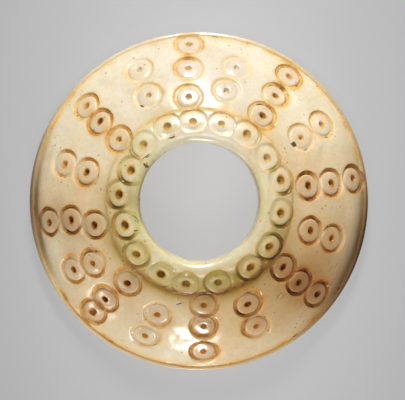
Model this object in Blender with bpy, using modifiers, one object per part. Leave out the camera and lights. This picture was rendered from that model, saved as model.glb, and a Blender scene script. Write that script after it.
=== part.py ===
"""Spindle whorl of pale polished stone, carved all over with ring-and-dot marks.

It is one solid: a domed disc with a wide spindle hole, a raised collar round the hole,
a fine groove and a rounded lip along the rim, and a flat underside that it lies on.
The origin is the centre of the spindle hole at the level of the underside, +Z up.
"""
from math import asin, cos, pi, radians, sin, sqrt, tan

import bpy
from mathutils import Matrix, Vector

# Overall sizes, in metres
outer_diameter = 0.0400
bore_diameter = 0.0139
rim_height = 0.0017
rim_edge_round = 0.0003
bore_edge_round = 0.0003

# Lip and the groove that sets it off from the dome
lip_width = 0.0004
lip_round = 0.0003
rim_groove_width = 0.0002
rim_groove_depth = 0.00012

# Dome: part of a sphere, this steep where it meets the rim groove
dome_edge_slope = radians(50.5)

# Collar: a rounded bead beside the hole, a carved band that falls outward, a steep flank
roll_width = 0.00135
roll_height = 0.00105
crest_round = 0.0015
band_slope = radians(28.0)
band_width = 0.00242
shoulder_round = 0.0003
flank_width = 0.0002
flank_height = 0.0006
valley_width = 0.00015

# Ring-and-dot tool, measured from its own axis and from the surface it is set on
ring_diameter = 0.0037
boss_diameter = 0.0027
dot_diameter = 0.00074
ring_depth = 0.00034
ring_floor_offset = 0.00010
boss_depth = 0.00007
dot_depth = 0.0005
tool_height = 0.0010

# The same kind of tool on the collar, where it bit deeper and its dot is wider
collar_ring_diameter = 0.0035
collar_boss_diameter = 0.0027
collar_dot_diameter = 0.00094
collar_ring_depth = 0.00040

# Finish
stone_colour = (0.76, 0.66, 0.45, 1.0)
stone_roughness = 0.28

# Facets
merge_distance = 0.00001
turns_of_body = 48
turns_of_tool = 12
turn_between_marks = radians(137.5)
dome_facets = 5
roll_facets = 3
crest_facets = 2
shoulder_facets = 2
lip_facets = 3

# Arms of marks on the dome: for each mark its bearing in degrees, counter-clockwise from +X,
# and how far across the dome it is set, from 0 at the collar to 1 at the rim groove
dome_arms = (
    ((8.1, 0.22), (8.0, 0.55), (8.3, 0.88)),
    ((32.1, 0.37), (32.1, 0.72)),
    ((54.0, 0.18), (54.3, 0.52), (54.3, 0.86)),
    ((76.2, 0.29), (74.4, 0.64)),
    ((96.0, 0.16), (94.6, 0.56), (93.6, 0.90)),
    ((115.5, 0.33), (114.6, 0.72)),
    ((142.2, 0.10), (141.3, 0.47), (139.8, 0.76)),
    ((165.3, 0.31), (164.4, 0.64)),
    ((192.3, 0.18), (188.1, 0.50), (187.7, 0.82)),
    ((210.2, 0.41), (208.6, 0.70)),
    ((228.7, 0.20), (226.2, 0.59), (226.2, 0.83)),
    ((249.7, 0.37), (248.1, 0.72)),
    ((272.7, 0.13), (272.1, 0.43), (271.7, 0.80)),
    ((295.5, 0.28), (294.6, 0.62)),
    ((322.0, 0.18), (321.0, 0.49), (321.7, 0.80)),
    ((345.3, 0.29), (344.4, 0.62)),
)

# Marks along the collar: bearing, and how far across the band, from 0 at its crest to 1
collar_marks = (
    (14.7, 0.66),
    (32.7, 0.49),
    (54.9, 0.60),
    (73.8, 0.49),
    (94.5, 0.47),
    (113.1, 0.55),
    (134.5, 0.44),
    (155.1, 0.20),
    (174.6, 0.48),
    (197.5, 0.35),
    (219.9, 0.54),
    (242.4, 0.54),
    (261.0, 0.61),
    (283.1, 0.59),
    (307.8, 0.61),
    (327.3, 0.61),
    (352.2, 0.57),
)

# Sizes that follow
outer_radius = outer_diameter / 2
bore_radius = bore_diameter / 2
dome_edge_radius = outer_radius - lip_width - rim_groove_width
dome_radius = dome_edge_radius / sin(dome_edge_slope)
dome_centre = rim_height - dome_radius * cos(dome_edge_slope)
crest_radius = bore_radius + roll_width
band_start = crest_radius + crest_round * sin(band_slope)
shoulder_radius = crest_radius + band_width
foot_radius = shoulder_radius + flank_width
dome_start_radius = foot_radius + valley_width


def dome_height(radius):
    """Height of the dome at a distance from the axis."""
    return dome_centre + sqrt(dome_radius**2 - radius**2)


foot_height = dome_height(dome_start_radius)
shoulder_height = foot_height + flank_height
band_start_height = shoulder_height + (shoulder_radius - band_start) * tan(band_slope)
crest_height = band_start_height + crest_round * (1 - cos(band_slope))


def collar_surface(radius):
    """Height and slope of the collar between its crest and its shoulder."""
    if radius < band_start:
        slope = asin((radius - crest_radius) / crest_round)
        return crest_height - crest_round * (1 - cos(slope)), slope
    return shoulder_height + (shoulder_radius - radius) * tan(band_slope), band_slope


def arc(centre, half_width, half_height, start, end, facets):
    """Points along part of an ellipse, its ends included; angles count up from +X."""
    points = []
    for step in range(facets + 1):
        angle = start + (end - start) * step / facets
        points.append((centre[0] + half_width * cos(angle), centre[1] + half_height * sin(angle)))
    return points


def whorl_profile():
    """Outline in the XZ plane, from the bore's lower edge up, over the dome and down."""
    roll_centre = (crest_radius, crest_height - roll_height)
    crest_centre = (crest_radius, crest_height - crest_round)
    shoulder_centre = (
        shoulder_radius - shoulder_round * sin(band_slope),
        shoulder_height - shoulder_round * cos(band_slope),
    )
    lip_centre = (outer_radius - lip_round, rim_height - lip_round)
    groove_middle = dome_edge_radius + rim_groove_width / 2

    points = [(bore_radius + bore_edge_round, 0.0), (bore_radius, bore_edge_round)]
    points += arc(roll_centre, roll_width, roll_height, pi, pi / 2, roll_facets)
    points += arc(
        crest_centre, crest_round, crest_round, pi / 2, pi / 2 - band_slope, crest_facets
    )[1:]
    points += arc(
        shoulder_centre, shoulder_round, shoulder_round, pi / 2 - band_slope, 0.0, shoulder_facets
    )
    points += [(foot_radius, foot_height)]
    start_slope = asin(dome_start_radius / dome_radius)
    points += arc(
        (0.0, dome_centre),
        dome_radius,
        dome_radius,
        pi / 2 - start_slope,
        pi / 2 - dome_edge_slope,
        dome_facets,
    )
    points += [(groove_middle, rim_height - rim_groove_depth)]
    points += arc(lip_centre, lip_round, lip_round, pi / 2, 0.0, lip_facets)
    points += [(outer_radius, rim_edge_round), (outer_radius - rim_edge_round, 0.0)]
    return points


def tool_profile(ring_radius, boss_radius, dot_radius, depth):
    """Half section of a tool, from the top of its axis round to the point of its dot."""
    return [
        (0.0, tool_height),
        (ring_radius, tool_height),
        (ring_radius, 0.0),
        (boss_radius + ring_floor_offset, -depth),
        (boss_radius, -boss_depth),
        (dot_radius, -boss_depth),
        (0.0, -dot_depth),
    ]


def profile_mesh(name, points, closed):
    """Mesh of edges alone, in the XZ plane."""
    edges = [(index, index + 1) for index in range(len(points) - 1)]
    if closed:
        edges.append((len(points) - 1, 0))
    mesh = bpy.data.meshes.new(name)
    mesh.from_pydata([(x, 0.0, z) for x, z in points], edges, [])
    return mesh


def turn(thing, facets):
    """Turn an object's profile a full circle about its own Z axis."""
    screw = thing.modifiers.new("turned", "SCREW")
    screw.axis = "Z"
    screw.angle = 2 * pi
    screw.steps = facets
    screw.render_steps = facets
    screw.use_merge_vertices = True
    screw.merge_threshold = merge_distance
    screw.use_smooth_shade = True


def stone():
    """Pale, polished, slightly see-through stone."""
    material = bpy.data.materials.new("pale stone")
    material.use_nodes = True
    shader = material.node_tree.nodes["Principled BSDF"]
    shader.inputs["Base Color"].default_value = stone_colour
    shader.inputs["Roughness"].default_value = stone_roughness
    shader.inputs["Metallic"].default_value = 0.0
    return material


def place_mark(mesh, collection, bearing, radius, height, slope):
    """One cutter, square to the surface, which falls outward at the given slope.

    Each is turned on about its own axis, so the facets of neighbours never line up.
    """
    spin = len(collection.objects) * turn_between_marks
    mark = bpy.data.objects.new("mark", mesh)
    collection.objects.link(mark)
    turn(mark, turns_of_tool)
    heading = radians(bearing)
    mark.matrix_world = (
        Matrix.Translation(Vector((radius * cos(heading), radius * sin(heading), height)))
        @ Matrix.Rotation(heading, 4, "Z")
        @ Matrix.Rotation(slope, 4, "Y")
        @ Matrix.Rotation(spin, 4, "Z")
    )
    mark.hide_render = True
    mark.display_type = "WIRE"


def make_marks(collection):
    """Cutters for every mark on the dome and along the collar."""
    section = tool_profile(ring_diameter / 2, boss_diameter / 2, dot_diameter / 2, ring_depth)
    dome_tool = profile_mesh("dome tool", section, False)
    for arm in dome_arms:
        for bearing, share in arm:
            radius = dome_start_radius + share * (dome_edge_radius - dome_start_radius)
            slope = asin(radius / dome_radius)
            place_mark(dome_tool, collection, bearing, radius, dome_height(radius), slope)
    section = tool_profile(
        collar_ring_diameter / 2, collar_boss_diameter / 2, collar_dot_diameter / 2, collar_ring_depth
    )
    collar_tool = profile_mesh("collar tool", section, False)
    for bearing, share in collar_marks:
        radius = crest_radius + share * band_width
        height, slope = collar_surface(radius)
        place_mark(collar_tool, collection, bearing, radius, height, slope)


def make_whorl(collection, cutters):
    """The turned stone with its marks cut out of it."""
    whorl = bpy.data.objects.new("whorl", profile_mesh("whorl", whorl_profile(), True))
    collection.objects.link(whorl)
    turn(whorl, turns_of_body)
    carving = whorl.modifiers.new("carving", "BOOLEAN")
    carving.solver = "MANIFOLD"
    carving.operation = "DIFFERENCE"
    carving.operand_type = "COLLECTION"
    carving.collection = cutters
    whorl.data.materials.append(stone())


def main():
    for thing in list(bpy.data.objects):
        bpy.data.objects.remove(thing, do_unlink=True)
    parts = bpy.data.collections.new("spindle whorl")
    cutters = bpy.data.collections.new("cutters")
    bpy.context.scene.collection.children.link(parts)
    bpy.context.scene.collection.children.link(cutters)
    make_marks(cutters)
    make_whorl(parts, cutters)


main()
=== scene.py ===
"""Looks of the spindle whorl: carved, polished and stained stone on a pale floor."""

import bpy
import numpy as np
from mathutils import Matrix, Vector, noise
from mathutils.geometry import delaunay_2d_cdt


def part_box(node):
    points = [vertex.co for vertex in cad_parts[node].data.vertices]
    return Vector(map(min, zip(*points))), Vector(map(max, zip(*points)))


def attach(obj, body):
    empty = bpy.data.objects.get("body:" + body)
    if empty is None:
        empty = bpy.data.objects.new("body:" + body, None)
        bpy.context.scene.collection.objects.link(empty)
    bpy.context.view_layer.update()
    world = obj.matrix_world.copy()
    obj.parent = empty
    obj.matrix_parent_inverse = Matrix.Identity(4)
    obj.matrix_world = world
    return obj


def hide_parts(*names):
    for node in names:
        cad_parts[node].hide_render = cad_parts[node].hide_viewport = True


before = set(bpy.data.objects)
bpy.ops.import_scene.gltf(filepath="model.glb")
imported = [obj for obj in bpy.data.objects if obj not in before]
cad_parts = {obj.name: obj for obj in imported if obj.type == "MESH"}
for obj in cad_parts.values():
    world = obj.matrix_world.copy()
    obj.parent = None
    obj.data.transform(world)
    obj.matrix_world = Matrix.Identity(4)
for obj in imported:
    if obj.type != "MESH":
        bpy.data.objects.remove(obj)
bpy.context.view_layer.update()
whorl_low, whorl_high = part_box("whorl")

# Sizes of the stone, in metres, as the part has them
outer_radius = (whorl_high[0] - whorl_low[0]) / 2
crest_height = whorl_high[2]
bore_radius = 0.00695
rim_height = 0.0017
rim_edge_round = 0.0003
bore_edge_round = 0.0003
lip_width = 0.0004
lip_round = 0.0003
rim_groove_width = 0.0002
rim_groove_depth = 0.00012
dome_edge_slope = np.radians(50.5)
roll_width = 0.00135
roll_height = 0.00105
crest_round = 0.0015
band_slope = np.radians(28)
band_width = 0.00242
shoulder_round = 0.0003
flank_width = 0.0002
flank_height = 0.0006
valley_width = 0.00015

# How far the stone's creases are worn round
crease_wear = 0.00007

# Ring-and-dot tool, and its sizes on the collar, where dots are larger and rings deeper
ring_radius = 0.00185
boss_radius = 0.00134
ring_depth = 0.00042
faint_ring_depth = 0.00012
boss_depth = 0.00003
boss_crown_radius = 0.009
dot_radius = 0.00037
dot_depth = 0.0006
dot_lean = 0.00008
collar_ring_radius = 0.00188
collar_boss_radius = 0.00137
broad_ring_radius = 0.00178
broad_boss_radius = 0.00146
collar_ring_depth = 0.00045
collar_shallow_depth = 0.0001
collar_tool_sink = 0.00003
collar_dot_radius = 0.00047
dish_radius = 0.00095
dish_depth = 0.00034
dish_wall_top = 0.00185
dish_wall_height = -0.00012
flare_width = 0.0004
flare_depth = 0.0003
flare_rise = 0.0004
clear_height = 0.0005

# How far along a tool's axis its mark cuts, and how far along it the mark's colour shows
cut_reach = 0.0015
colour_reach = 0.0012

# Mesh: seams where the carved side meets the plain rings below it, points round a seam, a mark and
# its dot, spacing along the profile, of the plain surface, along creases and along scratches, and
# the least gaps between points
inner_seam = 0.00725
outer_seam = 0.0199
turns = 360
mark_points = 84
dot_points = 16
profile_step = 0.00001
spacing = 0.0002
crease_spacing = 0.00018
scratch_spacing = 0.00006
plain_gap = 0.0001
crease_gap = 0.00006
scratch_gap = 0.00004
mark_gap = 0.00003
sieve_cell = 0.00016

# Dot of the tool: share of its radius and of its depth
dot_section = ((0, 1), (0.35, 0.9), (0.75, 0.5))

# Outer side of the ring, from its floor out: share of the ring's width and of its depth, or where
# it runs out wide, share of its depth alone
steep_wall = ((0.4, 1), (0.65, 0.88), (0.86, 0.45))
sloping_wall = ((0.25, 0.97), (0.6, 0.7), (0.85, 0.32))
flare_wall = (1, 0.9, 0.62, 0.32)

# Strength across a ring, at distances from the boss's edge and then from the ring's edge
ring_stain = (
    ((-0.00004, 0), (0.00002, 0.95), (0.00008, 1.12), (0.0002, 0.85)),
    ((-0.00018, 0.85), (-0.00007, 1.05), (0, 0.3), (0.00008, 0)),
)
dome_groove = (((-0.00005, 0), (0.00002, 1)), ((-0.00008, 0.9), (0, 0)))
collar_groove = (
    ((-0.00005, 0), (0.00002, 0.6), (0.0002, 1)),
    ((-0.00006, 1), (0.00003, 0)),
)

# Strength by distance from a collar mark's dot, in the crescent on its inward side: painted shade with
# some olive patina
crescent = ((0.00075, 0.00105, 0.00155, 0.00175), (0, 1, 1, 0))

# Strength by distance from the whorl's middle: the roll beside the hole, the band of marks, and
# the shadow along the rim on the right and on the left
roll_span = ((0.008, 0.0085), (1, 0))
band_span = ((0.0088, 0.0094, 0.0106, 0.011), (0, 1, 1, 0.4))
right_rim = ((0.0178, 0.0187, 0.0192, 0.0196, 0.0199), (0, 0.45, 1, 1, 1))
left_rim = ((0.018, 0.0188, 0.0191, 0.0195, 0.0198), (0, 0.35, 1, 0.75, 0.65))

# Marks on the dome, in arms of three and two by turns: bearing in degrees, share of the way across
# the dome, how deep and stained the ring is outward, left (counter-clockwise), inward and right,
# and how stained the dot is
dome_marks = (
    (8.1, 0.22, 0.3, 0.84, 0.2, 0.9, 1), (8, 0.55, 0.35, 0.74, 0.15, 0.72, 0.85),
    (8.3, 0.88, 0.5, 0.8, 0.15, 0.74, 0.8), (32.1, 0.37, 0.1, 0.37, 0.05, 0.1, 0.3),
    (32.1, 0.72, 0.35, 0.47, 0.15, 0.35, 0.35), (54, 0.18, 0.45, 0.37, 0.3, 0.5, 0.95),
    (54.3, 0.52, 0.55, 0.32, 0.25, 0.5, 0.65), (54.3, 0.86, 0.6, 0.57, 0.35, 0.55, 0.4),
    (76.2, 0.29, 0.25, 0.28, 0.08, 0.05, 0.1), (74.4, 0.64, 0.2, 0.18, 0.2, 0.2, 0),
    (96, 0.16, 0.4, 0.4, 0.2, 0.2, 0.3), (94.6, 0.56, 0.4, 0.42, 0.2, 0.25, 0.2),
    (93.6, 0.9, 0.35, 0.42, 0.25, 0.4, 0.25), (115.5, 0.33, 0.25, 0.13, 0.15, 0.3, 0.15),
    (114.6, 0.72, 0.1, 0.28, 0.15, 0.25, 0.1), (142.2, 0.1, 0.35, 0.57, 0.3, 0.6, 0.45),
    (141.3, 0.47, 0.45, 0.71, 0.3, 0.8, 0.85), (139.8, 0.76, 0.4, 0.47, 0.25, 0.7, 0.5),
    (165.3, 0.31, 0.2, 0.6, 0.3, 0.6, 0.9), (164.4, 0.64, 0.15, 0.4, 0.1, 0.6, 0.6),
    (192.3, 0.18, 0.2, 0.86, 0.15, 0.75, 1), (188.1, 0.5, 0.25, 0.84, 0.15, 0.85, 1),
    (187.7, 0.82, 0.35, 0.86, 0.15, 0.84, 0.9), (210.2, 0.41, 0.4, 0.66, 0.15, 0.6, 0.5),
    (208.6, 0.7, 0.4, 0.57, 0.1, 0.4, 0.9), (228.7, 0.2, 0.5, 0.56, 0.25, 0.3, 1),
    (226.2, 0.59, 0.55, 0.58, 0.4, 0.45, 0.95), (226.2, 0.83, 0.5, 0.61, 0.5, 0.6, 0.75),
    (249.7, 0.37, 0.4, 0.37, 0.3, 0.2, 0.5), (248.1, 0.72, 0.4, 0.32, 0.15, 0.25, 0.45),
    (272.7, 0.13, 0.5, 0.42, 0.25, 0.35, 0.4), (272.1, 0.43, 0.6, 0.52, 0.25, 0.5, 0.4),
    (271.7, 0.8, 0.55, 0.61, 0.55, 0.6, 0.4), (295.5, 0.28, 0.65, 0.47, 0.3, 0.6, 0.95),
    (294.6, 0.62, 0.35, 0.32, 0.4, 0.5, 0.5), (322, 0.18, 0.65, 0.7, 0.25, 0.92, 1),
    (321, 0.49, 0.72, 0.85, 0.25, 0.92, 1), (321.7, 0.8, 0.6, 0.82, 0.35, 0.78, 0.95),
    (345.3, 0.29, 0.35, 0.8, 0.3, 0.75, 1), (344.4, 0.62, 0.35, 0.6, 0.1, 0.68, 0.7),
)

# Marks along the collar, with the same entries; the share is of the way across the band
collar_marks = (
    (14.7, 0.66, 0.3, 0.08, 0.05, 0.85, 0.75), (32.7, 0.49, 0.28, 0, 0.05, 0.65, 0.45),
    (54.9, 0.6, 0.42, 0.1, 0.05, 0.4, 0.6), (73.8, 0.49, 0.36, 0.11, 0.1, 0.1, 0.45),
    (94.5, 0.47, 0.4, 0.11, 0.1, 0.1, 0.45), (113.1, 0.55, 0.35, 0.22, 0.15, 0.1, 0.6),
    (134.5, 0.44, 0.15, 0.6, 0.15, 0.08, 0.5), (155.1, 0.2, 0.15, 0.95, 0.25, 0.25, 0.75),
    (174.6, 0.48, 0.25, 1, 0.2, 0.3, 0.95), (197.5, 0.35, 0.35, 0.9, 0.25, 0.6, 0.95),
    (219.9, 0.54, 0.3, 0.6, 0.55, 0.55, 0.6), (242.4, 0.54, 0.35, 0.05, 0.5, 0.08, 1),
    (261, 0.61, 0.4, 0.15, 0.65, 0.08, 0.6), (283.1, 0.59, 0.55, 0.25, 0.8, 0.35, 0.3),
    (307.8, 0.61, 0.5, 0.55, 0.5, 0.75, 0.7), (327.3, 0.61, 0.68, 0.8, 0.3, 0.7, 0.75),
    (352.2, 0.57, 0.4, 0.08, 0.05, 0.9, 0.8),
)

# Dark soil in rings: the mark's arm (-1 is the collar) and place in it, the smear's middle in
# degrees left of outward, its half length in degrees, its distance from the dot and half width in
# millimetres, and its strength
soil = (
    (0, 0, -95, 14, 1.62, 0.1, 0.9), (0, 0, 95, 40, 1.42, 0.06, 0.8), (1, 0, 187, 14, 1.62, 0.17, 1),
    (1, 0, -101, 14, 1.6, 0.16, 0.6), (1, 1, -104, 26, 1.6, 0.14, 0.7), (2, 0, 40, 34, 1.47, 0.09, 1),
    (2, 1, 52, 30, 1.47, 0.08, 1), (2, 1, 98, 10, 1.62, 0.07, 0.8), (2, 1, 180, 25, 1.6, 0.08, 0.5),
    (2, 2, -105, 10, 1.5, 0.14, 0.7), (5, 0, 125, 15, 1.52, 0.13, 1), (5, 0, 180, 20, 1.78, 0.14, 0.5),
    (6, 2, 79, 12, 1.6, 0.12, 0.7), (6, 2, 104, 9, 1.6, 0.1, 0.6), (7, 0, 182, 22, 1.65, 0.12, 0.7),
    (7, 1, 77, 12, 1.58, 0.12, 0.8), (7, 1, 106, 9, 1.58, 0.1, 0.8), (8, 1, 58, 16, 1.5, 0.13, 0.9),
    (8, 2, 80, 30, 1.45, 0.06, 0.7), (9, 0, -107, 24, 1.5, 0.1, 0.8), (9, 1, -130, 20, 1.6, 0.08, 0.5),
    (11, 0, 180, 20, 1.55, 0.05, 0.5), (12, 2, -170, 24, 1.5, 0.1, 0.7), (13, 0, -62, 34, 1.55, 0.13, 1),
    (13, 0, 20, 34, 1.45, 0.05, 0.8), (13, 0, 160, 22, 1.55, 0.12, 0.7),
    (13, 1, -145, 34, 1.6, 0.08, 0.9), (13, 1, 116, 14, 1.6, 0.09, 0.8), (13, 1, 37, 12, 1.8, 0.1, 0.6),
    (14, 0, 129, 12, 1.62, 0.12, 0.9), (14, 1, -55, 26, 1.48, 0.08, 0.8),
    (14, 2, -59, 12, 1.7, 0.09, 0.9), (14, 2, 90, 14, 1.6, 0.12, 0.8), (15, 1, 128, 9, 1.62, 0.11, 1),
    (-1, 0, -80, 16, 1.55, 0.1, 0.6), (-1, 2, 12, 16, 1.48, 0.07, 0.8), (-1, 5, 180, 20, 1.55, 0.12, 1),
    (-1, 6, 162, 18, 1.55, 0.09, 0.9), (-1, 7, -142, 16, 1.75, 0.14, 0.8),
    (-1, 9, 40, 16, 1.6, 0.08, 0.5), (-1, 9, -160, 34, 1.5, 0.1, 0.7), (-1, 12, 155, 14, 1, 0.14, 0.6),
    (-1, 13, 62, 16, 1.6, 0.08, 0.8), (-1, 14, -70, 24, 1.6, 0.1, 0.5), (-1, 15, 0, 24, 1.55, 0.1, 0.5),
    (-1, 15, -80, 16, 1.6, 0.1, 0.5), (-1, 16, -75, 14, 1.6, 0.1, 0.6),
)

# Scratches and specks that hold soil: middle (x, y) in millimetres, direction in degrees, length
# and width in millimetres, and strength
scratches = (
    (11.2, 6.75, 125, 0.35, 0.2, 1), (12.5, 6.05, 45, 0.35, 0.13, 0.6), (9.6, 6.7, 70, 0.3, 0.1, 0.5),
    (10.2, 5.7, 60, 0.2, 0.1, 0.6), (15.3, -7.2, 57, 0.7, 0.05, 0.6), (15.6, -7.9, 55, 0.9, 0.05, 0.6),
    (15.9, -7, 60, 0.6, 0.05, 0.5), (16.2, -7.6, 57, 0.8, 0.05, 0.6), (15.8, -8.6, 52, 0.6, 0.05, 0.5),
    (16.5, -6.9, 60, 0.6, 0.05, 0.5), (15.2, -8.5, 55, 0.5, 0.05, 0.5), (16.4, -8.3, 55, 0.7, 0.05, 0.5),
    (12.2, -12.6, 50, 0.3, 0.06, 0.5), (11.6, -12.2, 40, 0.2, 0.07, 0.5), (9.4, -11, 45, 0.8, 0.06, 0.7),
    (9.8, -11.3, 48, 0.7, 0.05, 0.65), (9.1, -11.5, 42, 0.5, 0.05, 0.65),
    (9.9, -10.9, 55, 0.4, 0.05, 0.6), (12.2, -9.7, 50, 0.4, 0.06, 0.6),
    (-17.6, 1.45, 50, 0.15, 0.08, 0.5), (-17, 1.55, 30, 0.1, 0.08, 0.5),
    (-16.9, 1.2, 80, 0.1, 0.09, 0.55), (-17.7, 0.95, 0, 0.1, 0.07, 0.45),
    (-17.1, 0.25, 60, 0.1, 0.08, 0.5), (-16.8, -0.35, 50, 0.15, 0.07, 0.45),
    (-16.1, -3.4, 50, 0.3, 0.07, 0.5), (-15.4, -4, 10, 0.2, 0.07, 0.5), (-10.6, -2.3, 70, 1.2, 0.06, 0.6),
    (-10.3, -2.7, 80, 0.8, 0.06, 0.5), (-7, 0.2, 90, 0.4, 0.1, 0.8), (-6.3, 4.2, 120, 0.5, 0.11, 0.9),
    (-6.2, 5.3, 35, 0.9, 0.09, 0.8), (-7.45, -3.4, 10, 0.3, 0.12, 0.8),
    (-7.35, -2.3, 130, 0.6, 0.07, 0.6), (-3.2, 7.8, 25, 0.7, 0.07, 0.7), (-12.1, -5.8, 0, 0.2, 0.12, 0.9),
    (-2.4, -12, 20, 0.6, 0.1, 0.8), (-5.2, -12.2, 60, 0.9, 0.05, 0.6), (-4.8, -12.4, 55, 0.7, 0.05, 0.5),
    (-6.7, 11.2, 40, 0.4, 0.07, 0.6), (0.7, 14, 130, 0.3, 0.06, 0.4),
)

# Orange stain between neighbouring marks: arm and strength
gap_stain = ((1, 0.2), (2, 0.4), (4, 0.45), (6, 0.4), (10, 0.25), (12, 0.25))

# Marks struck again a little aside: the mark's arm and place, how far outward and left in
# millimetres, how deep the second ring is on its four sides, and its dot
second_strikes = (
    (2, 0, -0.2, -0.2, 0, 0, 0.5, 0.5, 0), (2, 2, -0.25, -0.1, 0, 0, 0.4, 0.5, 0),
    (9, 0, -0.25, -0.15, 0, 0, 0.3, 0.7, 0), (9, 1, -0.3, -0.15, 0, 0, 0.2, 0.5, 0),
    (10, 0, -0.3, -0.15, 0, 0, 0.3, 0.5, 0), (10, 1, -0.3, -0.15, 0, 0, 0.5, 0.5, 0),
    (10, 2, 0.38, 0, 0.5, 0.4, 0.1, 0.5, 0.7), (11, 0, 0.2, 0.12, 0.3, 0.3, 0, 0.2, 0),
    (11, 1, -0.2, 0.2, 0, 0.3, 0.2, 0, 0), (12, 1, 0.2, 0, 0.4, 0.3, 0, 0.3, 0),
    (12, 2, 0, 0.28, 0.3, 0.5, 0.3, 0, 0), (13, 0, -0.2, 0.25, 0, 0.5, 0.4, 0, 0),
    (13, 1, -0.25, -0.15, 0, 0, 0.5, 0.5, 0), (14, 1, -0.2, 0.25, 0, 0.6, 0.4, 0, 0),
    (14, 2, -0.2, 0.3, 0, 0.6, 0.4, 0, 0),
)

# Strength by bearing: stain, and dark olive painted shade, in the valley round the collar; stain in
# the rim's groove, and painted light that lifts the groove's shade; grey painted shade on the rim's
# side; brown stain and painted shade at the hole's edge; tan of the lip, and tan painted shade beside
# the valley; and painted shadow along the rim
valley_stain = (
    (0, 0.15), (15, 0.05), (30, 0.2), (60, 0.4), (90, 0.35), (115, 0.35), (135, 0.2), (160, 0.1),
    (200, 0.1), (225, 0.6), (255, 0.6), (290, 0.6), (305, 0.7), (325, 0.3), (345, 0.15),
)
valley_shade = (
    (0, 0.1), (20, 0), (100, 0), (150, 0.2), (190, 0.3), (215, 0.7), (240, 1), (255, 1.1), (270, 0.65),
    (285, 1.1), (305, 1.2), (322, 0.8), (335, 0.05),
)
rim_stain = (
    (0, 0.4), (20, 0.45), (45, 0.55), (70, 0.4), (90, 0.2), (110, 0.2), (140, 0.35), (160, 0.35),
    (175, 0.3), (200, 0.4), (215, 0.52), (245, 0.45), (275, 0.4), (290, 0.35), (315, 0.5), (335, 0.2),
)
groove_light_stretch = ((210, 0), (235, 1), (305, 1), (330, 0))
side_shade = (
    (0, 0.9), (20, 0.35), (50, 0.05), (90, 0), (130, 0.1), (155, 0.5), (180, 0.8), (195, 0.1), (220, 0.1),
    (270, 0.15), (290, 0.2), (320, 0.3), (333, 0.3), (345, 1.1),
)
hole_shade = (
    (0, 0.5), (40, 0.55), (80, 0.3), (110, 0.2), (140, 0.6), (165, 0.85), (195, 0.85), (215, 0.4),
    (250, 0.1), (300, 0.1), (340, 0.3),
)
lip_colour = (
    (0, 0.8), (45, 0.5), (70, 0.3), (90, 0.1), (120, 0.2), (150, 0.5), (180, 0.8), (205, 0.5), (220, 0),
    (290, 0), (305, 0.2), (320, 0.8),
)
valley_wide = (
    (0, 0.1), (30, 0), (75, 0.3), (95, 0.5), (110, 0.4), (130, 0), (160, 0.1), (185, 0.5), (200, 0.6),
    (260, 0.6), (300, 0.7), (325, 0.7), (345, 0.2),
)
rim_shadow = (
    (0, 0.72), (10, 0.35), (20, 0.1), (30, 0), (150, 0), (165, 0.5), (178, 1), (195, 0.95), (210, 0.2),
    (225, 0), (305, 0), (318, 0.45), (332, 0.9), (347, 1),
)

# How full of old polish and dirt the rim's groove is, by bearing
groove_fill = (
    (0, 0.2), (30, 0.5), (60, 0.8), (130, 0.8), (150, 0.2), (200, 0.2), (215, 1), (310, 1), (335, 0.2),
)

# Dark soil in the rim's groove: bearing, half length in degrees and strength
groove_soil = (
    (84.5, 2, 0.7), (73, 0.8, 0.6), (56, 0.8, 0.5), (215, 0.7, 0.6), (233, 0.6, 0.6), (238, 1.2, 0.7),
    (247, 0.7, 0.5), (254, 0.6, 0.5), (261.5, 2, 0.6), (290, 0.8, 0.6), (305.5, 1.5, 0.8),
    (324, 0.4, 0.6), (326, 0.5, 0.8), (328, 0.6, 1),
)

# Strength by bearing on the collar: green of the roll, painted light on the roll, pale and cool,
# green between the discs, and green of all the collar
roll_green = (
    (0, 0.6), (30, 0.35), (60, 0.1), (90, 0.1), (115, 0.3), (150, 0.4), (175, 1), (200, 0.9), (220, 0.5),
    (270, 0.35), (330, 0.35), (350, 0.6),
)
roll_pale = ((0, 0), (30, 0.4), (50, 1), (80, 1.1), (115, 1), (145, 1), (165, 0.2), (200, 0))
roll_cool = ((0, 0), (195, 0.3), (225, 0.5), (270, 0.6), (285, 1), (330, 1), (345, 0.1))
gap_green = (
    (0, 0.3), (20, 0), (150, 0), (200, 0.3), (235, 0.9), (270, 0.9), (300, 1), (330, 1), (350, 0.5),
)
collar_green = (
    (0, 0.3), (20, 0.15), (60, 0), (110, 0.2), (140, 0.45), (170, 0.5), (200, 0.6), (230, 0.75),
    (260, 0.9), (285, 1.05), (305, 0.7), (325, 0.45), (340, 0.4),
)

# Tints, which multiply the pale stone's colour; some paint light or shade, as said above them
white = (1, 1, 1)
# The next two give painted shade: deeper, warmer stone where it is turned from the key lamp
shade_honey = (0.96, 0.76, 0.5)
shade_amber = (0.8, 0.55, 0.3)
dusk = (0.64, 0.57, 0.5)
# Painted shadow along the rim and on the roll at the hole's left edge
shadow_umber = (0.2, 0.13, 0.04)
# Brown stain on the right and painted shade on the left of the hole's edge
hole_tint = (0.42, 0.27, 0.11)
# Painted shade, tan, beside the valley
tan = (0.72, 0.64, 0.4)
olive = (0.68, 0.68, 0.34)
boss_tint = (0.86, 0.76, 0.74)
lip_tint = (0.68, 0.6, 0.49)
brown = (0.84, 0.84, 1)
# The next three give olive patina together with painted shade in the collar's grooves and crescents
moss_and_shade = (0.59, 0.55, 0.1)
deep_moss_and_shade = (0.36, 0.33, 0.06)
inner_moss_and_shade = (0.66, 0.6, 0.1)
pit_tint = (0.52, 0.42, 0.03)
# The next two brighten the roll beside the hole: painted light
pale = (1.1, 1.12, 1.14)
cool = (0.95, 1.04, 1.24)
# Painted shade, dark olive, in the valley round the collar
valley_tint = (0.55, 0.5, 0.03)
# Painted shade, grey, on the rim's side turned from the lamps
side_shade_grey = (0.42, 0.39, 0.34)
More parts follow.
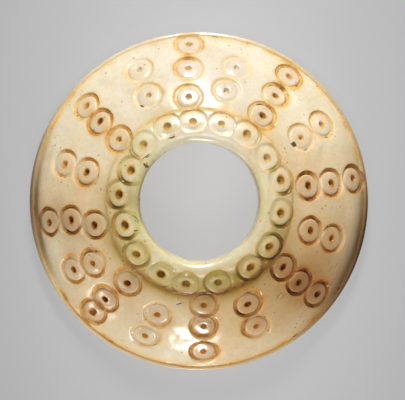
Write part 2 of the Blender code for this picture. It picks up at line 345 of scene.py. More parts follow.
# Painted glow: a highlight just outside a ring's outward side
painted_edge_glow = (1.14, 1.26, 1.6)
# Painted light that lifts the shade in the rim's groove
groove_light_tint = (1.16, 0.98, 0.72)
gap_moss = (0.62, 0.57, 0.28)
# Painted light: paler, cooler stone where the key lamp falls on the top
lit_milk = (0.89, 0.91, 1.03)
lime = (0.8, 0.86, 0.6)

# Colour patches of the stone: bearing, distance from the middle and reach in millimetres, tint and
# strength. The milky patch at the top is painted light, paler where the key lamp falls; the honey,
# amber and wide dusk patches on the right, lower and left sides and the dusk patches by the rim are
# painted shade, deeper and darker where the stone is turned from the key lamp; the umber patch is
# painted shade on the roll at the hole's left edge; the small dusk patches darken round single marks
patches = (
    (90, 14, 9, lit_milk, 1), (0, 15.5, 6.5, shade_honey, 0.5), (20, 14, 5, shade_honey, 0.3),
    (320, 15.5, 6.5, shade_honey, 1.15), (330, 17, 4.5, shade_amber, 0.5), (343, 18.6, 2, dusk, 0.4),
    (188, 17, 1.9, dusk, 0.6), (183, 16.8, 1.8, dusk, 0.4), (271, 15.4, 1.5, dusk, 0.35),
    (283, 10, 1.4, dusk, 0.4), (280, 14, 6, shade_honey, 0.8), (225, 15, 5.5, shade_honey, 0.7),
    (321, 15, 4.2, dusk, 0.95), (191, 13.6, 1.8, dusk, 0.75), (226, 13.7, 1.6, dusk, 0.5),
    (273, 13.4, 1.6, dusk, 0.5), (180, 15.5, 6.5, shade_honey, 0.6), (180, 7.4, 1.6, shadow_umber, 0.3),
)

# Lamps: name, bearing and elevation in degrees, width and height in metres, and power
lamps = (
    ("key", 90, 32, 0.09, 0.05, 0.86),
    ("low front", 268, 8, 0.06, 0.04, 0.36),
    ("low left", 225, 8, 0.06, 0.04, 0.13),
    ("low right", 38, 8, 0.16, 0.06, 0.09),
    ("high left", 180, 58, 0.12, 0.08, 0.08),
    ("high right", 0, 58, 0.12, 0.08, 0.06),
    ("high front", 270, 60, 0.12, 0.08, 0.22),
)
lamp_distance = 0.3
lamp_target = Vector((0, 0, 0.004))

# Camera: almost straight above, so far off and so far right and up from the whorl's middle, with
# the whorl and the picture this wide in pixels and the view's middle this far right and up
camera_distance = 0.55
camera_aside = (-0.003, 0.0048)
whorl_pixels = 338.4
picture_pixels = 405
aim_pixels = (3.6, 1.2)

# Sizes that follow
quarter = np.pi / 2
dome_edge_radius = outer_radius - lip_width - rim_groove_width
dome_radius = dome_edge_radius / np.sin(dome_edge_slope)
dome_centre = rim_height - dome_radius * np.cos(dome_edge_slope)
crest_radius = bore_radius + roll_width
shoulder_radius = crest_radius + band_width
foot_radius = shoulder_radius + flank_width
dome_start_radius = foot_radius + valley_width
groove_middle = dome_edge_radius + rim_groove_width / 2
valley_middle = (shoulder_radius + dome_start_radius) / 2
foot_height = dome_centre + np.sqrt(dome_radius**2 - dome_start_radius**2)
shoulder_height = foot_height + flank_height
roll_centre = (crest_radius, crest_height - roll_height)
lip_centre = (outer_radius - lip_round, rim_height - lip_round)
arm_rows = iter(dome_marks)
dome_arms = [[next(arm_rows) for _ in range(3 - arm % 2)] for arm in range(16)]


def arc(centre, half_size, start, end, count):
    """Points along part of an ellipse, its ends included; angles count up from +X."""
    angles = np.linspace(start, end, count)
    return centre + half_size * np.stack([np.cos(angles), np.sin(angles)], 1)


def circle(radius, count):
    angles = np.linspace(0, 2 * np.pi, count, endpoint=False)
    return np.stack([radius * np.cos(angles), radius * np.sin(angles)], 1)


def upper_profile():
    """Radius and height from the top of the bore over the collar and dome to the rim's side."""
    leaning = quarter - band_slope
    shoulder_centre = (
        shoulder_radius - shoulder_round * np.sin(band_slope),
        shoulder_height - shoulder_round * np.cos(band_slope),
    )
    dome_start = quarter - np.arcsin(dome_start_radius / dome_radius)
    sections = [
        arc(roll_centre, (roll_width, roll_height), np.pi, quarter, 24),
        arc((crest_radius, crest_height - crest_round), crest_round, quarter, leaning, 12)[1:],
        arc(shoulder_centre, shoulder_round, leaning, 0, 10),
        [(foot_radius, foot_height)],
        arc((0, dome_centre), dome_radius, dome_start, quarter - dome_edge_slope, 60),
        [(groove_middle, rim_height - rim_groove_depth)],
        arc(lip_centre, lip_round, quarter, 0, 12),
    ]
    return np.concatenate(sections)


def lower_profile():
    """Radius and height of the rings from the outer seam down, under and up the bore."""
    lip_start = np.arccos((outer_seam - outer_radius + lip_round) / lip_round)
    roll_end = np.pi - np.arccos((crest_radius - inner_seam) / roll_width)
    edge_centre = (outer_radius - rim_edge_round, rim_edge_round)
    bore_centre = (bore_radius + bore_edge_round, bore_edge_round)
    side = np.linspace(lip_centre[1], rim_edge_round, 6)[1:-1]
    under = np.linspace(edge_centre[0], bore_centre[0], 12)[1:-1]
    wall = np.linspace(bore_edge_round, roll_centre[1], 12)[1:-1]
    sections = [
        arc(lip_centre, lip_round, lip_start, 0, 6)[1:],
        [(outer_radius, height) for height in side],
        arc(edge_centre, rim_edge_round, 0, -quarter, 5),
        [(radius, 0) for radius in under],
        arc(bore_centre, bore_edge_round, -quarter, -np.pi, 5),
        [(bore_radius, height) for height in wall],
        arc(roll_centre, (roll_width, roll_height), np.pi, roll_end, 9)[:-1],
    ]
    return np.concatenate(sections)


def worn_profile():
    """The upper profile with its creases worn round between the crest and the lip."""
    radii = np.arange(bore_radius, outer_radius, profile_step)
    heights = np.interp(radii, *upper_profile().T)
    reach = np.arange(-4 * crease_wear, 4 * crease_wear, profile_step)
    kernel = np.exp(-0.5 * (reach / crease_wear) ** 2)
    smooth = np.convolve(heights, kernel / kernel.sum(), "same")
    ends = [crest_radius, crest_radius + 0.0005, outer_radius - lip_width, outer_radius - 0.0002]
    worn = np.interp(radii, ends, [0, 1, 1, 0])
    return radii, heights + worn * (smooth - heights)


profile_radii, profile_heights = worn_profile()


def base_height(radius):
    return np.interp(radius, profile_radii, profile_heights)


def along(bearing):
    """Unit direction in plan at a bearing in degrees."""
    heading = np.radians(bearing)
    return np.array([np.cos(heading), np.sin(heading)])


def across_dome(share):
    """Radius a share of the way across the dome."""
    return dome_start_radius + share * (dome_edge_radius - dome_start_radius)


class Tool:
    """Section of the ring-and-dot tool: heights of the floor that it leaves."""

    def __init__(self, boss, ring, deepest, shallowest, dot, sink, outer_wall):
        self.boss = boss
        self.ring = ring
        self.dot = dot
        self.sink = sink
        self.outer_wall = outer_wall
        self.flare_reach = ring + flare_width
        self.distances, self.deep = self.section(deepest)
        self.faint = self.section(shallowest)[1]
        dish = self.pit() + [(dot, -0.15 * dot_depth), (1.2 * dot, -0.0001)]
        dish += [(dish_radius, -dish_depth), (dish_wall_top, dish_wall_height)]
        dish += [(self.distances[-1], clear_height)]
        self.dish = np.interp(self.distances, *np.transpose(dish))

    def pit(self):
        return [(share * self.dot, -deep * dot_depth) for share, deep in dot_section]

    def flared(self, distance):
        """Floor of the ring where its outer wall runs out wide and shallow."""
        boss = self.boss
        ring = self.ring
        reach = self.flare_reach
        ends = [0, boss, boss + 0.0001, ring - 0.0001, ring + 0.0001, reach - 0.0001, reach]
        walls = [-share * flare_depth for share in flare_wall]
        return np.interp(distance, ends, [clear_height, 0.0001, *walls, 0.0002])

    def crown(self, distance):
        return -boss_depth - distance**2 / (2 * boss_crown_radius)

    def section(self, depth):
        """Distances and heights of the floor where the ring is cut to a depth."""
        boss = self.boss
        edge = self.crown(boss)
        floor = min(-depth, edge)
        across = self.ring - boss
        points = self.pit() + [(self.dot, -0.12 * dot_depth)]
        for distance in (1.2 * self.dot, 0.65 * boss, 0.88 * boss):
            points.append((distance, self.crown(distance)))
        for distance, share in ((0.95 * boss, 0.06), (boss, 0.45)):
            points.append((distance, edge + share * (floor - edge)))
        for part, share in ((0.14, 1), *self.outer_wall):
            points.append((boss + part * across, share * floor))
        points += [(self.ring, 0), (self.ring + 0.00014, clear_height)]
        return np.transpose(points)


dome_tool = Tool(
    boss_radius, ring_radius, ring_depth, faint_ring_depth, dot_radius, 0, steep_wall
)
collar_sizes = (
    collar_ring_depth, collar_shallow_depth, collar_dot_radius, collar_tool_sink, sloping_wall
)
collar_tool = Tool(collar_boss_radius, collar_ring_radius, *collar_sizes)
broad_tool = Tool(broad_boss_radius, broad_ring_radius, *collar_sizes)


class Mark:
    """One ring-and-dot mark: where the tool stood, which way it pointed, and its stain."""

    def __init__(self, tool, bearing, radius, slope, sides, dot):
        self.tool = tool
        self.on_collar = tool is not dome_tool
        up = np.array([0, 0, 1])
        outward = np.append(along(bearing), 0)
        self.axis = np.sin(slope) * outward + np.cos(slope) * up
        self.down = np.cos(slope) * outward - np.sin(slope) * up
        self.side = np.cross(up, outward)
        self.centre = radius * outward + base_height(radius) * up - tool.sink * self.axis
        self.sides = sides
        self.dot = dot
        self.dotted = True
        self.least_depth = 0.12
        self.flare = 0

    def depth_share(self, angle):
        """How deep the ring is at an angle, from the faint section at 0 to the deep one at 1."""
        return np.clip(self.least_depth + 0.9 * self.strength(angle), 0, 1)

    def dish_share(self, angle):
        """How much of the dished section shows: all of it on a collar mark's inward side."""
        return self.on_collar * np.maximum(-np.cos(angle), 0) ** 1.5

    def floor(self, distance, angle):
        """Height of the floor along the tool's axis."""
        tool = self.tool
        if not self.dotted:
            distance = np.maximum(distance, 1.2 * tool.dot)
        deep, faint, dish = (
            np.interp(distance, tool.distances, heights)
            for heights in (tool.deep, tool.faint, tool.dish)
        )
        ring = faint + (deep - faint) * self.depth_share(angle)
        floor = ring + (dish - ring) * self.dish_share(angle)
        if self.flare > 0:
            share = self.flare * np.maximum(np.cos(angle), 0) ** 0.7
            floor = np.minimum(floor, tool.flared(distance) + flare_rise * (1 - share))
        return floor

    def polar(self, points):
        """Distance from the tool's axis, height along it and angle left of outward."""
        away = points - self.centre
        down = away @ self.down
        side = away @ self.side
        return np.hypot(down, side), away @ self.axis, np.arctan2(side, down)

    def strength(self, angle):
        """How deep and stained the ring is at an angle."""
        facing = (np.cos(angle), np.sin(angle), -np.cos(angle), -np.sin(angle))
        return sum(side * np.maximum(share, 0) ** 2 for side, share in zip(self.sides, facing))

    def ring(self, distance, count):
        """Points of the plain surface at one distance from the tool's axis."""
        around = circle(distance, count)
        points = self.centre + around[:, :1] * self.down + around[:, 1:] * self.side
        for _ in range(4):
            gap = base_height(np.hypot(points[:, 0], points[:, 1])) - points[:, 2]
            points = points + gap[:, None] * self.axis[2] * self.axis
        return points


def dome_mark(bearing, radius, sides, dot):
    return Mark(dome_tool, bearing, radius, np.arcsin(radius / dome_radius), sides, dot)


def make_marks():
    """Marks of each arm, with its second strikes after the first ones, and those of the collar."""
    arms = []
    for arm in dome_arms:
        arms.append([])
        for bearing, share, *sides, dot in arm:
            mark = dome_mark(bearing, across_dome(share), sides, dot)
            mark.flare = np.interp(np.sin(np.radians(bearing)), [0.3, 0.8], [1, 0])
            arms[-1].append(mark)
    for arm, place, outward_mm, left_mm, *sides, dot in second_strikes:
        first = arms[arm][place]
        x, y, _ = first.centre + 0.001 * (outward_mm * first.down + left_mm * first.side)
        again = dome_mark(np.degrees(np.arctan2(y, x)), np.hypot(x, y), sides, dot)
        again.dotted = dot > 0
        again.least_depth = -0.3
        arms[arm].append(again)
    collar = []
    for bearing, share, *sides, dot in collar_marks:
        tool = broad_tool if max(sides[1], sides[3]) < 0.4 else collar_tool
        mark = Mark(tool, bearing, crest_radius + share * band_width, band_slope, sides, dot)
        mark.least_depth = 0
        collar.append(mark)
    return arms + [collar]


mark_groups = make_marks()
marks = [mark for group in mark_groups for mark in group]
chance = np.random.default_rng(7)
for mark in marks:
    mark.lean = chance.uniform(-dot_lean, dot_lean, 2)


def carve(points):
    """The points pressed down to the floor of every mark that they lie in."""
    carved = points.copy()
    radius = np.hypot(points[:, 0], points[:, 1])
    within_lip = np.interp(radius, [dome_edge_radius, groove_middle + 0.0001], [1, 0])
    for mark in marks:
        distance, height, angle = mark.polar(carved)
        above = np.maximum(height - mark.floor(distance, angle), 0)
        cut = np.where(distance < mark.tool.flare_reach, above, 0)
        cut[np.abs(height) > cut_reach] = 0
        cut *= within_lip
        carved -= cut[:, None] * mark.axis
    return carved


def near(points, mark):
    """Distance and angle from a mark, and whether it counts: it does on the carved side alone."""
    distance, height, angle = mark.polar(points)
    close = (np.abs(height) < colour_reach) & (points[:, 2] > lip_centre[1])
    return distance, close, angle


def bump(value, middle, half_width):
    """1 at the middle, falling smoothly to 0 at about twice the half width."""
    return np.exp(-((value - middle) / half_width) ** 2)


def noise_at(points, scale, offset):
    """Smooth noise of about -1 to 1 at each point."""
    shift = Vector((offset, -2 * offset, 3 * offset))
    return np.array([noise.noise(Vector(point) * scale + shift) for point in points.tolist()])


def plan_place(points):
    """Distance from the whorl's middle and bearing in degrees at each point."""
    x = points[:, 0]
    y = points[:, 1]
    return np.hypot(x, y), np.degrees(np.arctan2(y, x))


def in_sight(points):
    """1 on the carved side, falling to 0 below the rim's lip and down the wall of the bore."""
    radius, _ = plan_place(points)
    lowest = np.where(radius < crest_radius, roll_centre[1], rim_height)
    return np.clip((points[:, 2] - lowest) / 0.0001 + 1, 0, 1)


def by_bearing(bearing, table):
    """Strength at each bearing, read between the entries of a table that runs full circle."""
    keys, values = np.transpose(table)
    return np.interp(bearing, keys, values, period=360)


def across_ring(distance, tool, inner, outer):
    """Strength across a ring, from what a table gives at its boss's edge and at its own edge."""
    stops = [(tool.boss + away, strength) for away, strength in inner]
    stops += [(tool.ring + away, strength) for away, strength in outer]
    return np.interp(distance, *np.transpose(stops))


def ring_amounts(points, mark):
    """Stain in a mark's ring and dot, the soft halo round it, and where the mark counts."""
    distance, close, angle = near(points, mark)
    strength = mark.strength(angle)
    boss = mark.tool.boss
    hole = mark.tool.dot
    edge = mark.tool.ring
    floor = across_ring(distance, mark.tool, *ring_stain)
    thin = bump(distance, edge - 0.00014, 0.00012)
    floor = thin + (floor - thin) * np.clip(2 * strength, 0, 1)
    soft = strength * np.clip(0.9 - strength, 0, 1)
    tail = 0.8 * soft * np.interp(distance, [boss, edge, edge + 0.0003], [0, 1, 0])
    tail *= 1 - 0.7 * mark.flare
    ring = np.maximum(strength * floor, tail)
    core = np.hypot(
        distance * np.cos(angle) - mark.lean[0], 0.8 * distance * np.sin(angle) - mark.lean[1]
    )
    core_ends = [0.4 * hole, 0.9 * hole, 1.1 * hole, 1.35 * hole]
    dot = mark.dot * np.interp(core, core_ends, [1.1, 0.95, 0.45, 0])
    if mark.on_collar:
        ring *= 0.2 + 0.8 * np.maximum(np.cos(angle), 0)
        dot *= 0.6
    wide = bump(distance, 0.0016, 0.0007) * (0.25 * soft + 0.04 * np.mean(mark.sides))
    return np.maximum(ring, dot), wide * (1 - 0.8 * mark.flare), close


def stain_amounts(points):
    """Orange-brown stain from 0 to 1, before carving, at every point."""
    stain = np.zeros(len(points))
    halo = np.zeros(len(points))
    radius, bearing = plan_place(points)
    top = points[:, 2] > rim_height - 0.5 * lip_round
    for mark in marks:
        ring, wide, close = ring_amounts(points, mark)
        stain = np.where(close, np.maximum(stain, ring), stain)
        halo = np.where(close, np.maximum(halo, wide), halo)
    cloudy = 0.9 + 0.6 * noise_at(points, 700, 6)
    for arm, strength in gap_stain:
        for first, second in zip(dome_arms[arm], dome_arms[arm][1:]):
            middle, share = np.mean([first[:2], second[:2]], 0)
            away = points[:, :2] - across_dome(share) * along(middle)
            spread = strength * bump(np.hypot(*away.T), 0, 0.0007) * cloudy
            halo = np.maximum(halo, spread * (points[:, 2] > rim_height))
    uneven = 0.8 + 0.6 * noise_at(points, 900, 4)
    patchy = np.clip(0.55 + 1.3 * noise_at(points, 500, 8), 0, 1.3)
    valley = by_bearing(bearing, valley_stain)
    stain = np.maximum(stain, valley * uneven * bump(radius, valley_middle, 0.0003) * top)
    halo = np.maximum(halo, 0.3 * valley * bump(radius, valley_middle + 0.0003, 0.0007) * top)
    rim = by_bearing(bearing, rim_stain)
    stain = np.maximum(stain, rim * patchy * bump(radius, groove_middle - 0.0001, 0.00021) * top)
    halo = np.maximum(halo, 0.3 * rim * bump(radius, groove_middle + 0.0002, 0.00045))
    return np.clip(stain + halo, 0, 1)


def soil_amounts(points):
    """Dark soil from 0 to 1 at every point."""
    amount = np.zeros(len(points))
    for group, place, middle, half_length, distance_mm, half_width, strength in soil:
        distance, close, angle = near(points, mark_groups[group][place])
        turn = (np.degrees(angle) - middle + 180) % 360 - 180
        smear = strength * bump(turn, 0, half_length)
        smear *= bump(1000 * distance, distance_mm, half_width)
        amount = np.where(close, np.maximum(amount, smear), amount)
    radius, bearing = plan_place(points)
    in_groove = bump(radius, groove_middle, 0.00009) * (points[:, 2] > lip_centre[1])
    for middle, half_length, strength in groove_soil:
        smear = strength * in_groove * bump(bearing % 360, middle, half_length)
        amount = np.maximum(amount, smear)
    return np.clip(amount, 0, 1)


def lay(tint, weight, colour):
    """Multiply the tints by a colour, as far as its weight goes at each point."""
    tint *= 1 - weight[:, None] * (1 - np.array(colour))


def tint_marks(points, tint):
    """Tint every mark. The result is how matt each point is, and whether a collar disc has it."""
    in_disc = np.zeros(len(points))
    matt = np.zeros(len(points))
    for mark in marks:
        distance, close, angle = near(points, mark)
        strength = mark.strength(angle)
        tool = mark.tool
        if mark.on_collar:
            in_disc = np.maximum(in_disc, close * (distance < tool.ring))
            # Olive patina and painted shade in the groove and, on the inward side, in the crescent
            groove = across_ring(distance, tool, *collar_groove)
            groove *= np.clip(1.15 * strength, 0, 1) * (1 - mark.dish_share(angle))
            inward = np.maximum(-np.cos(angle), 0)
            inner = np.interp(distance, *crescent) * (inward**0.7 * 1.1 * mark.sides[2])
            inner = np.clip(inner, 0, 1)
            olive_dot = np.clip(1.6 * mark.dot - 0.45, 0.25, 1)
            pit = np.interp(distance, [tool.dot, 1.25 * tool.dot], [olive_dot, 0])
            dull = np.maximum(np.maximum(groove, inner), 0.2 * (distance < tool.ring))
            matt = np.maximum(matt, close * dull)
            shares = ((groove, moss_and_shade), (groove**2, deep_moss_and_shade), (inner, inner_moss_and_shade), (pit, pit_tint))
            for share, colour in shares:
                lay(tint, share * close, colour)
        else:
            lay(tint, np.mean(mark.sides) * close * (distance < tool.boss), boss_tint)
            groove = close * across_ring(distance, tool, *dome_groove)
            matt = np.maximum(matt, groove * np.clip(0.3 + strength, 0, 1))
            lay(tint, mark.flare * groove * np.clip(2 * strength, 0, 1), brown)
            # Painted glow: a highlight just outside the ring on its outward side
            worn = mark.flare * close * bump(distance, tool.ring + 0.00016, 0.00014)
            lay(tint, worn * (0.8 * np.maximum(np.cos(angle), 0)), painted_edge_glow)
    return matt, in_disc


def stone_tints(points):
    """Colour of the stone, with painted light and shade laid in, as a multiplier of the pale stone, and
    its polish.
    """
    tint = np.ones((len(points), 3))
    warp = np.column_stack([noise_at(points, 180, 3), noise_at(points, 180, 7)])
    place = points[:, :2] + 0.0012 * warp
    # Colour patches, among them painted light and painted shade
    for bearing, distance_mm, reach, colour, strength in patches:
        away = place - 0.001 * distance_mm * along(bearing)
        lay(tint, strength * bump(np.hypot(*away.T), 0, 0.001 * reach), colour)
    matt, in_disc = tint_marks(points, tint)

    radius, _ = plan_place(points)
    warped_radius, bearing = plan_place(place)
    seen = in_sight(points)
    side = np.clip(points[:, 2] / rim_edge_round, 0, 1)
    between = np.interp(radius, *band_span) * (1 - in_disc) * (radius < dome_start_radius)
    on_roll = np.interp(radius, *roll_span)
    layers = (
        (collar_green, bump(warped_radius, 0.0096, 0.0014) * (0.35 + 0.65 * in_disc), olive),
        (gap_green, between * seen, gap_moss),
        (roll_green, on_roll, lime),
        # Painted light on the roll, pale and cool
        (roll_pale, on_roll * seen, pale),
        (roll_cool, on_roll * seen, cool),
        (lip_colour, np.clip((radius - groove_middle) / 0.0002, 0, 1) * side, lip_tint),
        # Painted light that lifts the shade in the rim's groove
        (groove_light_stretch, bump(radius, groove_middle, 0.00025) * seen, groove_light_tint),
        # Painted shade beside the valley, tan
        (valley_wide, bump(radius, valley_middle + 0.0007, 0.0009) * seen, tan),
        # Painted shade on the rim's side
        (side_shade, np.clip((radius - outer_radius + 0.0004) / 0.0003, 0, 1) * side, side_shade_grey),
        # Brown stain on the right and painted shade on the left of the hole's edge
        (hole_shade, np.clip((bore_radius + 0.0003 - radius) / 0.00025, 0, 1) * seen, hole_tint),
    )
    for table, spread, colour in layers:
        lay(tint, by_bearing(bearing, table) * spread, colour)
    # Painted shade, dark olive, in the valley round the collar
    shade = by_bearing(bearing, valley_shade) * bump(radius, valley_middle + 0.00015, 0.0004)
    shade = np.clip(shade * (0.9 + 0.4 * noise_at(points, 700, 5)), 0, 1)
    lay(tint, shade * seen, valley_tint)
    # Painted shadow along the rim
    rim = np.where(points[:, 0] > 0, np.interp(radius, *right_rim), np.interp(radius, *left_rim))
    dark = by_bearing(bearing, rim_shadow) * rim * side
    lay(tint, dark, shadow_umber)
    matt = np.maximum(matt, 0.7 * dark)
    return np.column_stack([tint, 1 - np.clip(matt, 0, 1)])


def scratch_frame(scratch):
    """Middle, unit directions along and to the left, half length and width, in metres."""
    x_mm, y_mm, bearing, length, width, _ = scratch
    forward = along(bearing)
    left = np.array([-forward[1], forward[0]])
    return 0.001 * np.array([x_mm, y_mm]), forward, left, 0.0005 * length, 0.001 * width


def scratch_amounts(points):
    """How far each point lies in a scratch, from 0 to 1."""
    amount = np.zeros(len(points))
    on_top = in_sight(points)
    for scratch in scratches:
        middle, forward, left, half_length, width = scratch_frame(scratch)
        away = points[:, :2] - middle
        beyond = np.maximum(np.abs(away @ forward) - half_length, 0)
        groove = on_top * scratch[-1] * bump(np.hypot(beyond, away @ left), 0, width)
        amount = np.maximum(amount, groove)
    return amount


class Sieve:
    """Keeps points that lie no nearer to each other than a given gap."""

    def __init__(self, cell):
        self.cell = cell
        self.cells = {}
        self.points = []

    def add(self, x, y, gap):
        column = int(x // self.cell)
        row = int(y // self.cell)
        for i in (column - 1, column, column + 1):
            for j in (row - 1, row, row + 1):
                for other_x, other_y in self.cells.get((i, j), ()):
                    if (other_x - x) ** 2 + (other_y - y) ** 2 < gap * gap:
                        return
        self.cells.setdefault((column, row), []).append((x, y))
        self.points.append((x, y))

    def add_all(self, points, gap):
        """Add the points that lie between the seams."""
        for x, y in points:
            if inner_seam + crease_gap < np.hypot(x, y) < outer_seam - crease_gap:
                self.add(x, y, gap)


def scatter():
    """Plan places of the carved side's points: seams, marks, scratches, creases and the rest."""
    sieve = Sieve(sieve_cell)
    for x, y in np.concatenate([circle(inner_seam, turns), circle(outer_seam, turns)]):
        sieve.add(x, y, 0)
    for mark in marks:
        for distance in mark.tool.distances[1:-1]:
            around = mark.ring(distance, dot_points if distance < 0.0006 else mark_points)
            sieve.add_all(around[:, :2], mark_gap)
        sieve.add(*mark.centre[:2], mark_gap)
        if mark.flare > 0:
            for distance in (mark.tool.flare_reach - 0.0001, mark.tool.flare_reach):
                around = mark.ring(distance, mark_points)
                outward = (around - mark.centre) @ mark.down > 0.2 * distance
                sieve.add_all(around[outward, :2], crease_gap)
    for scratch in scratches:
        middle, forward, left, half_length, width = scratch_frame(scratch)
        reach = half_length + width
        for ahead in np.linspace(-reach, reach, int(2 * half_length / scratch_spacing) + 3):
            line = [share * width * left for share in (0, -0.8, 0.8, -1.8, 1.8)]
            sieve.add_all([middle + ahead * forward + aside for aside in line], scratch_gap)
    creases = [crest_radius, shoulder_radius, shoulder_radius + 0.0001, foot_radius - 0.0001]
    creases += [foot_radius, foot_radius + 0.0001, dome_start_radius, dome_edge_radius]
    creases += [groove_middle, dome_edge_radius + rim_groove_width, lip_centre[0]]
    for radius in creases:
        sieve.add_all(circle(radius, int(2 * np.pi * radius / crease_spacing)), crease_gap)
    for row in range(int((outer_seam - inner_seam) / spacing)):
        radius = inner_seam + (row + 0.5) * spacing
        sieve.add_all(circle(radius, int(2 * np.pi * radius / spacing)), plain_gap)
    return sieve.points


def whorl_mesh():
    """Vertices and triangles of the closed stone before carving."""
    flat = [Vector(point) for point in scatter()]
    found, _, triangles, origins, _, _ = delaunay_2d_cdt(flat, [], [], 0, 1e-10)
    plan = np.array([tuple(point) for point in found])
    place = {source: index for index, sources in enumerate(origins) for source in sources}
    inner = [place[index] for index in range(turns)]
    outer = [place[turns + index] for index in range(turns)]
    bore = set(inner)
    faces = [tuple(corners) for corners in triangles if not bore.issuperset(corners)]

    levels = [np.column_stack([plan, base_height(np.hypot(*plan.T))])]
    chain = [outer]
    for radius, height in lower_profile():
        start = sum(len(level) for level in levels)
        levels.append(np.column_stack([circle(radius, turns), np.full(turns, height)]))
        chain.append(range(start, start + turns))
    chain.append(inner)
    for upper, lower in zip(chain, chain[1:]):
        for i in range(turns):
            j = (i + 1) % turns
            faces += [(upper[i], lower[i], lower[j]), (upper[i], lower[j], upper[j])]
    return np.concatenate(levels), faces


def hand_worked(carved, scratched):
    """The carved points with the slight waves and scratches that hand work and age leave."""
    worked = carved.copy()
    radius, bearing = plan_place(carved)
    on_top = np.clip((carved[:, 2] - 0.0008) / 0.0008, 0, 1)
    held = on_top * np.clip((outer_radius - radius) / 0.001, 0, 1)
    for axis in range(2):
        sway = 0.00008 * noise_at(carved, 450, 5 + axis)
        sway += 0.00004 * noise_at(carved, 1100, 9 + axis)
        worked[:, axis] += sway * held
    wave = 0.000014 * noise_at(carved, 350, 1) + 0.000006 * noise_at(carved, 900, 2)
    worked[:, 2] += wave * held - 0.00003 * scratched
    fill = by_bearing(bearing, groove_fill) * bump(radius, groove_middle, 0.00011)
    worked[:, 2] += 0.00007 * fill * in_sight(carved)
    return worked


def make_whorl():
    """The carved stone as one mesh, with its stain, soil, tint and polish at every point."""
    vertices, faces = whorl_mesh()
    scratched = scratch_amounts(vertices)
    carved = hand_worked(carve(vertices), scratched)
    mesh = bpy.data.meshes.new("carved_whorl")
    mesh.from_pydata(carved.tolist(), [], faces)
    mesh.shade_smooth()
    mesh.set_sharp_from_angle(angle=np.radians(38))
    layers = (
        ("stain", "FLOAT", "value", stain_amounts(vertices)),
        ("soil", "FLOAT", "value", np.maximum(soil_amounts(vertices), scratched)),
        ("tint", "FLOAT_COLOR", "color", stone_tints(vertices)),
    )
    for name, kind, field, values in layers:
        layer = mesh.attributes.new(name, kind, "POINT")
        layer.data.foreach_set(field, values.astype(np.float32).ravel())
    piece = bpy.data.objects.new("carved_whorl", mesh)
    bpy.context.scene.collection.objects.link(piece)
    return piece


class Look:
    """Builds a node material in short calls."""

    def __init__(self, name):
        self.material = bpy.data.materials.new(name)
        self.material.use_nodes = True
        self.tree = self.material.node_tree
        self.shader = self.tree.nodes["Principled BSDF"]

    def fill(self, node, inputs):
        """Link each input of a node to a socket, or set it to a value."""
        for name, value in inputs.items():
            if isinstance(value, bpy.types.NodeSocket):
                self.tree.links.new(value, node.inputs[name])
            else:
                node.inputs[name].default_value = value

    def node(self, kind, inputs, **settings):
        made = self.tree.nodes.new("ShaderNode" + kind)
        for name, value in settings.items():
            setattr(made, name, value)
        self.fill(made, inputs)
        return made

    def attribute(self, name, output):
        return self.node("Attribute", {}, attribute_name=name).outputs[output]

    def place(self):
        return self.node("TexCoord", {}).outputs["Object"]

    def noise(self, scale, detail, roughness, offset=0):
        shift = {"Location": (offset, 0.7 * offset, 0.3 * offset), "Vector": self.place()}
        vector = self.node("Mapping", shift).outputs["Vector"]
        inputs = {"Scale": scale, "Detail": detail, "Roughness": roughness, "Vector": vector}
        return self.node("TexNoise", inputs).outputs["Fac"]

    def calc(self, operation, first, second, clamp=False):
        inputs = {0: first, 1: second}
        return self.node("Math", inputs, operation=operation, use_clamp=clamp).outputs[0]

    def add(self, first, second, clamp=False):
        return self.calc("ADD", first, second, clamp)

    def times(self, first, second, clamp=False):
        return self.calc("MULTIPLY", first, second, clamp)

    def ramp(self, source, *stops):
        """Colour that runs between stops, each a position and a colour, as the source rises."""
        made = self.node("ValToRGB", {"Fac": source})
        elements = made.color_ramp.elements
        while len(elements) < len(stops):
            elements.new(0.5)
        for element, (position, colour) in zip(elements, stops):
            element.position = position
            element.color = (*colour, 1)
        return made.outputs["Color"]

    def multiply(self, first, second):
        inputs = {"Factor": 1, "A": first, "B": second}
        return self.node("Mix", inputs, data_type="RGBA", blend_type="MULTIPLY").outputs["Result"]


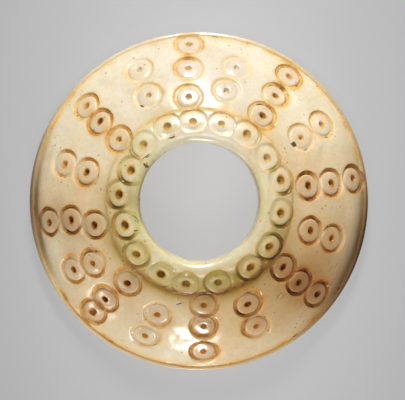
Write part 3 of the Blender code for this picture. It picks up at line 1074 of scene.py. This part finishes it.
def stone_look():
    look = Look("pale stone")
    stain = look.attribute("stain", "Fac")
    soil_here = look.attribute("soil", "Fac")
    own = look.ramp(
        look.noise(230, 4, 0.55),
        (0.3, (0.8, 0.66, 0.43)),
        (0.5, (0.86, 0.75, 0.53)),
        (0.7, (0.9, 0.81, 0.61)),
    )
    grain = look.ramp(look.noise(2600, 3, 0.6, 0.02), (0.35, (0.93, 0.93, 0.93)), (0.6, white))
    colour = look.multiply(look.multiply(own, look.attribute("tint", "Color")), grain)

    # Stain broken up by fine noise, most where there is some stain already
    fine = look.calc("SUBTRACT", look.noise(1500, 4, 0.65, 0.01), 0.5)
    uneven = look.times(fine, look.times(stain, 1.8))
    faint = look.times(look.calc("SUBTRACT", look.noise(420, 3, 0.6, 0.03), 0.56), 0.5)
    amount = look.add(look.add(stain, uneven), look.calc("MAXIMUM", faint, 0), True)
    stained = look.ramp(
        amount,
        (0, white),
        (0.25, (1, 0.85, 0.56)),
        (0.5, (0.9, 0.6, 0.23)),
        (0.75, (0.62, 0.35, 0.09)),
        (0.92, (0.42, 0.22, 0.06)),
        (1, (0.22, 0.11, 0.03)),
    )
    colour = look.multiply(colour, stained)

    # Soil in ragged specks
    ragged = look.calc("SUBTRACT", look.noise(2100, 3, 0.7, 0.05), 0.42)
    speck = look.times(
        look.add(soil_here, look.times(ragged, 1.4)), look.times(soil_here, 1.6, True), True
    )
    dirt = look.ramp(speck, (0.25, white), (0.75, (0.13, 0.085, 0.035)))
    colour = look.multiply(colour, dirt)

    # Fine dark specks scattered over the polish
    cells = look.node("TexVoronoi", {"Scale": 1100, "Vector": look.place()})
    near_middle = look.calc("LESS_THAN", cells.outputs["Distance"], 0.12)
    chosen = look.calc("GREATER_THAN", look.noise(330, 2, 0.6, 0.07), 0.53)
    specks = look.times(near_middle, chosen)
    speckled = look.ramp(specks, (0, white), (1, (0.6, 0.5, 0.34)))

    # Polish is worn off in grooves and where stain and soil lie
    worn = look.add(look.times(look.attribute("tint", "Alpha"), -0.75), 0.75)
    matt = look.add(look.times(amount, 0.2), worn)
    matt = look.add(matt, look.times(soil_here, 0.4))
    uneven_gloss = look.times(look.noise(900, 4, 0.6, 0.04), 0.12)
    relief = {"Strength": 0.35, "Distance": 0.00003, "Height": look.noise(1300, 5, 0.6, 0.06)}
    inputs = {
        "Base Color": look.multiply(colour, speckled),
        "Roughness": look.add(look.add(matt, uneven_gloss), 0.17, True),
        "Normal": look.node("Bump", relief).outputs["Normal"],
        "Subsurface Weight": 0.35,
        "Subsurface Radius": (1, 0.6, 0.3),
        "Subsurface Scale": 0.0002,
        "IOR": 1.5,
        "Coat Weight": 0.2,
        "Coat Roughness": 0.1,
    }
    look.fill(look.shader, inputs)
    return look.material


def floor_look():
    """Matt grey that glows a little more toward the middle of the view."""
    look = Look("pale floor")
    inputs = {"Location": (-0.06, -0.08, 0), "Scale": (31, 17, 17), "Vector": look.place()}
    shift = look.node("Mapping", inputs)
    vector = {"Vector": shift.outputs["Vector"]}
    spread = look.node("TexGradient", vector, gradient_type="SPHERICAL").outputs["Fac"]
    glow = look.ramp(spread, (0, (0.3, 0.295, 0.3)), (1, (0.52, 0.52, 0.525)))
    inputs = {
        "Base Color": (0.12, 0.12, 0.12, 1),
        "Roughness": 0.95,
        "Emission Strength": 1,
        "Emission Color": glow,
    }
    look.fill(look.shader, inputs)
    return look.material


whorl = make_whorl()
whorl.data.materials.append(stone_look())
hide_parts("whorl")
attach(whorl, "root")

bpy.ops.mesh.primitive_plane_add(size=2, location=(0, 0, 0))
floor = bpy.context.object
floor.name = "floor"
floor.data.materials.append(floor_look())

for name, bearing, elevation, width, height, power in lamps:
    light = bpy.data.lights.new(name, "AREA")
    light.shape = "RECTANGLE"
    light.size = width
    light.size_y = height
    light.energy = power
    lamp = bpy.data.objects.new(name, light)
    rise = np.radians(elevation)
    away = Vector((*(np.cos(rise) * along(bearing)), np.sin(rise)))
    lamp.location = lamp_target + lamp_distance * away
    lamp.rotation_euler = away.to_track_quat("Z", "Y").to_euler()
    bpy.context.scene.collection.objects.link(lamp)

world = bpy.data.worlds.new("room")
world.use_nodes = True
background = world.node_tree.nodes["Background"]
background.inputs["Color"].default_value = (0.9, 0.95, 1, 1)
background.inputs["Strength"].default_value = 0.08
bpy.context.scene.world = world
bpy.context.scene.view_settings.view_transform = "Standard"

pixel = 2 * outer_radius / whorl_pixels
camera_data = bpy.data.cameras.new("camera")
camera_data.sensor_width = 36
camera_data.lens = camera_data.sensor_width * camera_distance / (picture_pixels * pixel)
camera = bpy.data.objects.new("camera", camera_data)
aim = Vector((aim_pixels[0] * pixel, aim_pixels[1] * pixel, rim_height))
camera.location = Vector((*camera_aside, rim_height + camera_distance))
off_aim = camera.location - aim
camera.rotation_euler = (-np.arctan2(off_aim.y, off_aim.z), np.arctan2(off_aim.x, off_aim.z), 0)
bpy.context.scene.collection.objects.link(camera)
bpy.context.scene.camera = camera
